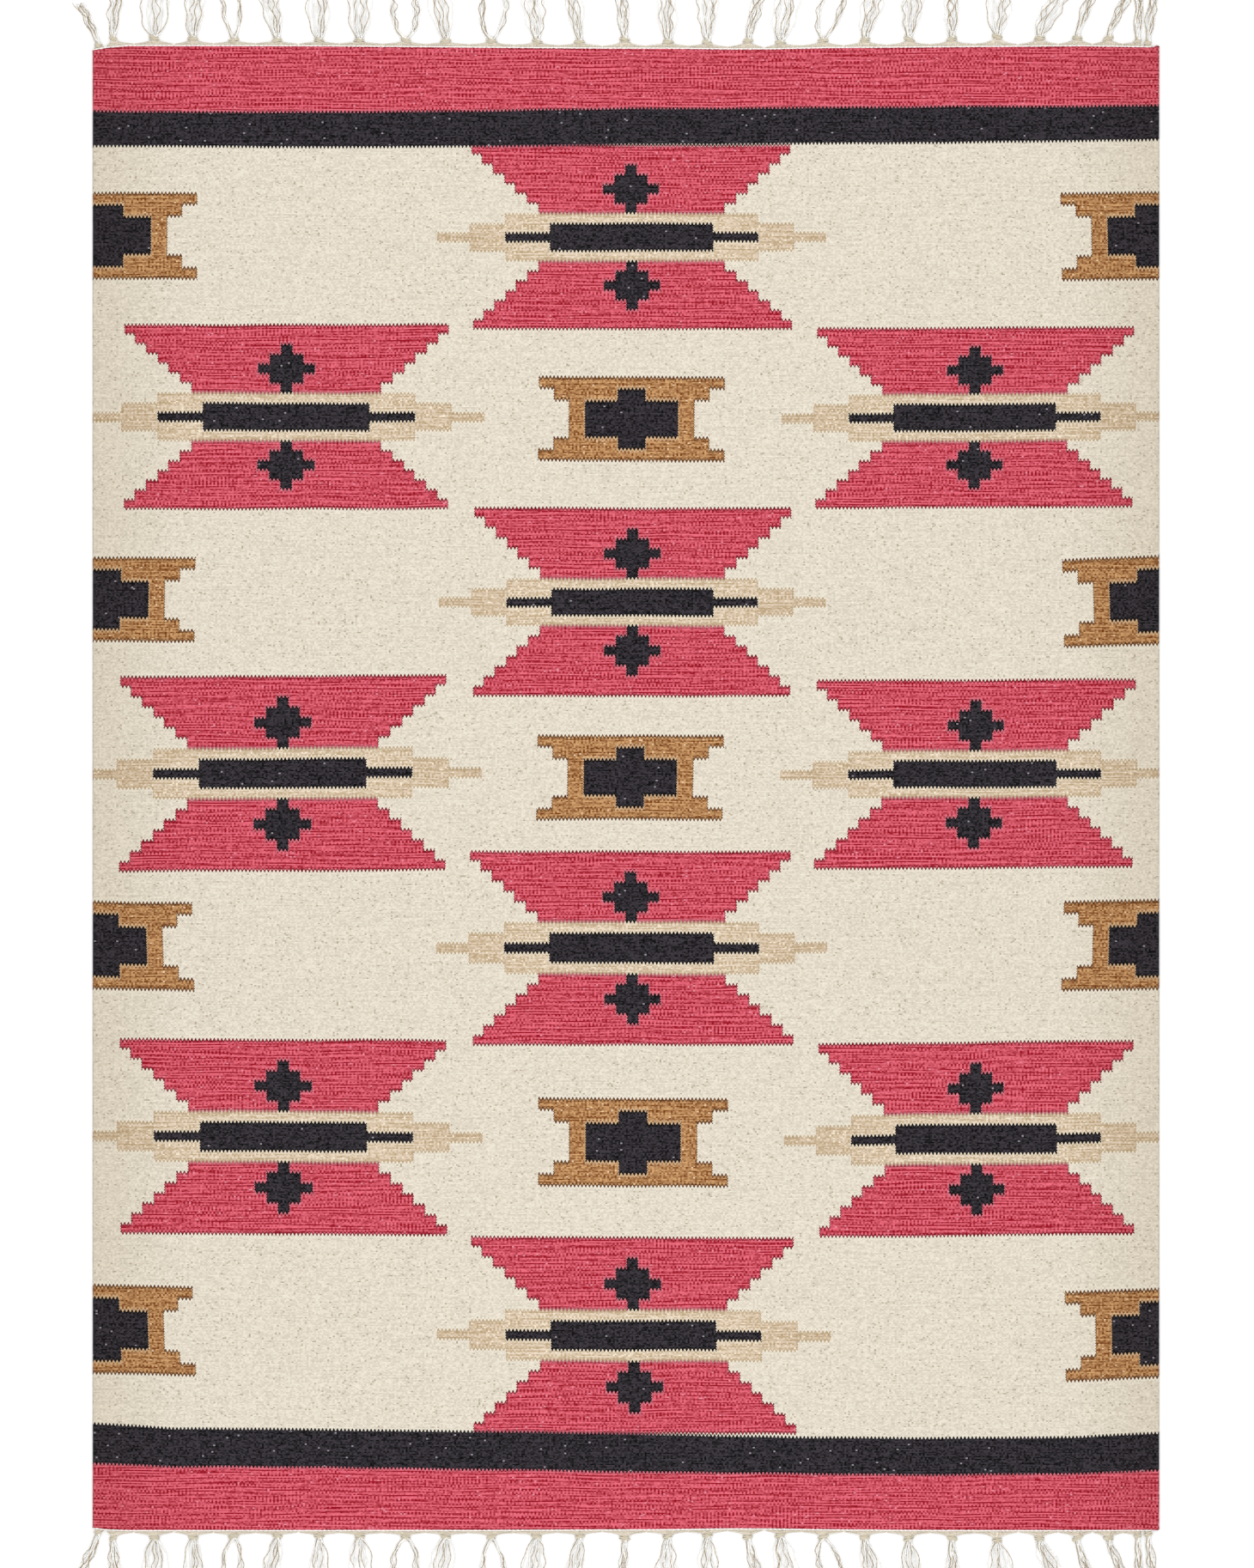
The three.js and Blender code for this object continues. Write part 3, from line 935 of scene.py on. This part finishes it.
def tassel_yarns(side):
    """The loose warp yarns of one end's tassels, which cling together in a few locks, and the
    single dark plies among them, which stand in as painted shadow lines between the yarns."""
    chance = random.Random(TASSEL_SEED + side)
    yarns, plies = [], []
    for index, (x, out, lean, fan, reach) in enumerate(TASSELS):
        start = end_edge(x, side) + side * (GAP + out + ROOT)
        run = reach - out - ROOT
        opening = chance.uniform(*OPENINGS)
        for number in range(TASSEL_YARNS + SHADOW_PLIES):
            shadow_line = number >= TASSEL_YARNS
            if shadow_line:
                share = SHADOW_PLY_SPREAD * ((2 * (number - TASSEL_YARNS) + 1) / SHADOW_PLIES - 1)
                share += chance.uniform(-SHADOW_PLY_SCATTER, SHADOW_PLY_SCATTER)
            else:
                share = 2 * number / (TASSEL_YARNS - 1) - 1
                share += (round(share * 2) / 2 - share) * CLINGING
                share += chance.uniform(-SCATTER, SCATTER)
            if index in PARTED:
                share = math.copysign(PARTING + (1 - PARTING) * abs(share), share)
            elif abs(share) < OUTERMOST:
                share *= BODY
            radius = SHADOW_PLY if shadow_line else TASSEL_YARN * chance.uniform(*YARN_SIZES)
            length = chance.uniform(*YARN_LENGTHS)
            sway = chance.uniform(*SWAY) * (SHADOW_PLY_SWAY if shadow_line else 1)
            bends = chance.uniform(*BENDS)
            phase = chance.uniform(0, math.tau)
            curl = chance.uniform(-CURL, CURL)
            lift = LAYER * (number % 3) + chance.uniform(0, LAYER_CHANCE)
            perch = SHADOW_PLY_PERCH * TASSEL_YARN if shadow_line else 0
            # The yarns leave the knot in another order, so that they cross.
            root = NECK / 2 * (2 * (number * 3 % TASSEL_YARNS) / (TASSEL_YARNS - 1) - 1)
            path = []
            steps = round(run * length / TASSEL_STEP)
            for step in range(steps + 1):
                along = step / steps * length
                opened = 1 - (1 - along) ** opening
                across = (root * (1 - opened) ** 2 + share * fan * opened
                          + lean * along ** LEAN_CURVE
                          + sway * along ** SWAY_CURVE * math.sin(phase + along * bends)
                          + curl * max(0, (along - CURL_START) / (1 - CURL_START)) ** 2)
                ripple = 0.5 + 0.5 * math.sin(2 * phase + along * RISES)
                height = (radius * (1 + PLY_DEPTH) + lift * (1 - along) ** 3
                          + KNOT_STEP * (1 - along) ** 8 + perch * opened
                          + RISE_AND_FALL * lift * ripple * opened)
                path.append((Vector((x + across, start + side * run * along, height)), radius))
            (plies if shadow_line else yarns).append(path)
    return yarns, plies


def weft_turns():
    """The weft's turns around the outer warps of both sides, which the eye reads as straight."""
    yarns = []
    for toward in (-1, 1):
        edge = toward * CLOTH_WIDTH / 2
        far, near = end_edge(edge, 1) - TURN_YARN, end_edge(edge, -1) + TURN_YARN
        count = round((far - near) / TURN_PITCH)
        bend = CLOTH_THICKNESS / 2 - TURN_YARN * (1 + PLY_DEPTH)
        for number in range(count + 1):
            along = near + (far - near) * number / count
            path = []
            for step in range(TURN_STEPS + 1):
                angle = math.pi * (step / TURN_STEPS - 0.5)
                out = (math.cos(angle) - 1) * bend - TURN_YARN + TURN_OUT
                path.append((Vector((edge + toward * out, along,
                                     CLOTH_THICKNESS / 2 + math.sin(angle) * bend)), TURN_YARN))
            yarns.append(path)
    return yarns


def last_beads(side):
    """The beads of the last pick along one end, each over a few warps that a knot gathers."""
    chance = random.Random(LAST_BEAD_SEED + side)
    yarns = []
    x = -CLOTH_WIDTH / 2 + LAST_MARGIN
    while x < CLOTH_WIDTH / 2 - LAST_BEAD / 2:
        length = LAST_BEAD * chance.uniform(*LAST_BEAD_LENGTHS)
        end = min(x + length, CLOTH_WIDTH / 2 - LAST_MARGIN)
        path = []
        for step in range(LAST_BEAD_STEPS + 1):
            share = step / LAST_BEAD_STEPS
            place = x - LAST_BEAD_OVERLAP + (end - x + 2 * LAST_BEAD_OVERLAP) * share
            swell = math.sin(math.pi * share)
            inside = LAST_BEAD_INSIDE - LAST_BEAD_SWELL * swell
            path.append((Vector((place, end_edge(place, side) - side * inside,
                                 CLOTH_THICKNESS - LAST_BEAD_YARN + LAST_BEAD_RISE * swell)),
                         LAST_BEAD_YARN * (0.5 + 0.5 * swell)))
        yarns.append(path)
        x = end
    return yarns


def depth_in(kind, figure, x, y):
    """How far inside a figure's outline a place is, or less than 0 outside it, in mm."""
    rows = KINDS[kind][0]
    middle_x, middle_y, unit, height, _, lean, tilt = figure
    across = abs(x - middle_x - lean * (y - middle_y))
    along = abs(y - middle_y - tilt * (x - middle_x))
    wide = next((max(row[1:]) for row in rows if along < row[0] * height), max(rows[-1][1:]))
    return min(wide * unit - across, rows[-1][0] * height - along)


def mark_figures(piece):
    """Marks each face of a woven piece with the figure that it lies in, or else the closest."""
    figures = [(kind, figure) for kind, (*_, those) in enumerate(KINDS) for figure in those]
    values = {"figure_across": [], "figure_along": [], "figure_rows": []}
    for face in piece.data.polygons:
        here = (face.center.x / MM, face.center.y / MM)
        kind, (x, y, unit, height, bar, lean, tilt) = max(
            figures, key=lambda one: depth_in(*one, *here))
        scale = 1 / unit / RAMP_UNITS
        values["figure_across"] += (scale, -lean * scale, (lean * y - x) * scale)
        scale = 1 / height / RAMP_ROWS
        values["figure_along"] += (-tilt * scale, scale, (tilt * x - y) * scale)
        values["figure_rows"] += (kind, 1 / bar, BAR_ROWS * (1 - bar) / RAMP_ROWS)
    for name, numbers in values.items():
        attribute = piece.data.attributes.new(name, "FLOAT_VECTOR", "FACE")
        attribute.data.foreach_set("vector", numbers)


def only(piece):
    """Selects one piece and makes it active."""
    bpy.ops.object.select_all(action="DESELECT")
    piece.select_set(True)
    bpy.context.view_layer.objects.active = piece


def finish_with(piece, kind, **settings):
    """Adds a modifier and applies it."""
    only(piece)
    modifier = piece.modifiers.new(kind.title(), kind)
    for key, value in settings.items():
        setattr(modifier, key, value)
    bpy.ops.object.modifier_apply(modifier=modifier.name)


class KILIM_OT_stage(bpy.types.Operator):
    """Makes the floor, the lights and the camera above the rug."""
    bl_idname = "kilim.stage"
    bl_label = "Stage"

    def execute(self, context):
        bpy.ops.object.select_all(action="DESELECT")
        bpy.ops.mesh.primitive_plane_add(size=FLOOR_SIZE)
        floor = context.object
        floor.name = "floor"
        material, node = new_material("white_studio_floor")
        shader = node("BsdfPrincipled", {"Base Color": (*linear(FLOOR_COLOUR), 1),
                                         "Roughness": 0.9, "Specular IOR Level": 0})
        node("OutputMaterial", (shader,))
        floor.data.materials.append(material)

        world = bpy.data.worlds.new("white_studio")
        world.use_nodes = True
        background = world.node_tree.nodes["Background"]
        background.inputs["Color"].default_value = (1, 1, 1, 1)
        background.inputs["Strength"].default_value = ROOM_LIGHT
        context.scene.world = world
        context.scene.view_settings.view_transform = "Standard"

        x, y = (value * MM for value in VIEW_MIDDLE)
        away = VIEW_HEIGHT * MM * LENS / SENSOR
        bpy.ops.object.camera_add(location=(x, y, away + CLOTH_THICKNESS * MM),
                                  rotation=(0, 0, 0))
        camera = context.object
        camera.data.lens = LENS
        camera.data.sensor_width = SENSOR
        camera.data.clip_end = 100
        context.scene.camera = camera
        for end in (-1, 1):
            bpy.ops.object.light_add(type="AREA", location=(0, end * LAMP_OUT, LAMP_HEIGHT))
            lamp = context.object.data
            lamp.shape = "RECTANGLE"
            lamp.size, lamp.size_y = LAMP_SIZE
            lamp.energy = LAMP_POWER
        return {"FINISHED"}


class KILIM_OT_fringe(bpy.types.Operator):
    """Ties the warp ends of both ends of the cloth: swags, overhand knots and tassels."""
    bl_idname = "kilim.fringe"
    bl_label = "Fringe"

    def execute(self, context):
        gathered = plied_material("undyed_plied_cotton_gathered", *GATHERED_COTTON)
        loose = plied_material("undyed_plied_cotton_loose", *LOOSE_COTTON)
        drawn_tight = plied_material("undyed_plied_cotton_knotted", *KNOTTED_COTTON)
        # The single plies' dark brown paints the shadow lines between the tassels' white yarns.
        shadow_line = plied_material("cotton_plies_painted_as_shadow_lines", *SHADOW_LINE_COTTON)
        for end, side in (("far", 1), ("near", -1)):
            swags = spin(f"swags_{end}", swag_yarns(side), gathered)
            knots = spin(f"knots_{end}", knot_wraps(side), drawn_tight,
                         reference=Vector((0, 1, 0)), twist=0, loops=True)
            heading = spin(f"heading_{end}", heading_strands(side), loose)
            yarns, plies = tassel_yarns(side)
            tassels = spin(f"tassels_{end}", yarns, loose)
            shadow_lines = spin(f"plies_{end}", plies, shadow_line)
            for piece in (swags, heading, knots, tassels, shadow_lines):
                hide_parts(f"fringe_{end}")
        return {"FINISHED"}


class KILIM_OT_yarn_dye(bpy.types.Operator):
    """Dyes the wefts and draws the weave's figures, as the cloth's material."""
    bl_idname = "kilim.yarn_dye"
    bl_label = "Weave and colours"

    def execute(self, context):
        weave_material(context.scene.kilim.yarns)
        return {"FINISHED"}


class KILIM_OT_edges(bpy.types.Operator):
    """Lays the weft's turns along the sides and the last pick along each end."""
    bl_idname = "kilim.edges"
    bl_label = "Edges"

    def execute(self, context):
        woven = bpy.data.materials["weft_faced_cotton_weave"]
        turns = spin("weft_turns", weft_turns(), woven, reference=Vector((0, 1, 0)), twist=0)
        far = spin("last_pick_far", last_beads(1), woven)
        near = spin("last_pick_near", last_beads(-1), woven)
        for piece in (turns, far, near):
            mark_figures(piece)
        return {"FINISHED"}


class KILIM_OT_cloth(bpy.types.Operator):
    """Weaves the cloth: one thin sheet with straight sides and slightly wandering ends."""
    bl_idname = "kilim.cloth"
    bl_label = "Cloth"

    def execute(self, context):
        settings = context.scene.kilim
        steps_across = round(CLOTH_WIDTH / CELL)
        steps_along = round(CLOTH_LENGTH / CELL)
        bpy.ops.object.select_all(action="DESELECT")
        bpy.ops.mesh.primitive_grid_add(x_subdivisions=steps_across, y_subdivisions=steps_along,
                                        size=1)
        cloth = context.object
        cloth.name = "woven_cloth"
        cloth.data.uv_layers[0].name = "OFBake"
        for vertex in cloth.data.vertices:
            across = vertex.co.x * (CLOTH_WIDTH - 2 * TURN_ROOM)
            far, near = end_edge(across, 1), end_edge(across, -1)
            along = near + LAST_ROOM + (vertex.co.y + 0.5) * (far - near - 2 * LAST_ROOM)
            lift = noise.noise(Vector((across / RIPPLE_ACROSS, along / RIPPLE_ALONG,
                                       RIPPLE_LAYER))) * 0.5 + 0.5
            vertex.co = Vector((across * MM, along * MM,
                                CLOTH_THICKNESS * MM + lift * settings.ripple))
        finish_with(cloth, "SOLIDIFY", thickness=CLOTH_THICKNESS * MM, offset=-1)
        finish_with(cloth, "BEVEL", width=EDGE_ROUNDING * MM, segments=2, limit_method="ANGLE")
        bpy.ops.object.shade_smooth_by_angle(angle=math.radians(50))
        cloth.data.materials.append(bpy.data.materials["weft_faced_cotton_weave"])
        mark_figures(cloth)
        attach(cloth, "root")
        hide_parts("kilim_cloth")
        return {"FINISHED"}


class KILIM_PT_panel(bpy.types.Panel):
    """The rug's pieces, in the order in which they are made."""
    bl_idname = "KILIM_PT_panel"
    bl_label = "Kilim Rug"
    bl_space_type = "VIEW_3D"
    bl_region_type = "UI"
    bl_category = "Kilim"

    def draw(self, context):
        for operator in OPERATORS:
            self.layout.operator(operator.bl_idname)
        for name in KilimYarns.__annotations__:
            self.layout.prop(context.scene.kilim.yarns, name)
        self.layout.prop(context.scene.kilim, "ripple")


OPERATORS = (KILIM_OT_stage, KILIM_OT_fringe, KILIM_OT_yarn_dye, KILIM_OT_edges, KILIM_OT_cloth)
CLASSES = (KilimYarns, KilimSettings, *OPERATORS, KILIM_PT_panel)


def register():
    for item in CLASSES:
        bpy.utils.register_class(item)
    bpy.types.Scene.kilim = bpy.props.PointerProperty(type=KilimSettings)


def unregister():
    del bpy.types.Scene.kilim
    for item in reversed(CLASSES):
        bpy.utils.unregister_class(item)


def main():
    register()
    bpy.ops.kilim.stage()
    bpy.ops.kilim.fringe()
    bpy.ops.kilim.yarn_dye()
    bpy.ops.kilim.edges()
    bpy.ops.kilim.cloth()


if __name__ == "__main__":
    main()
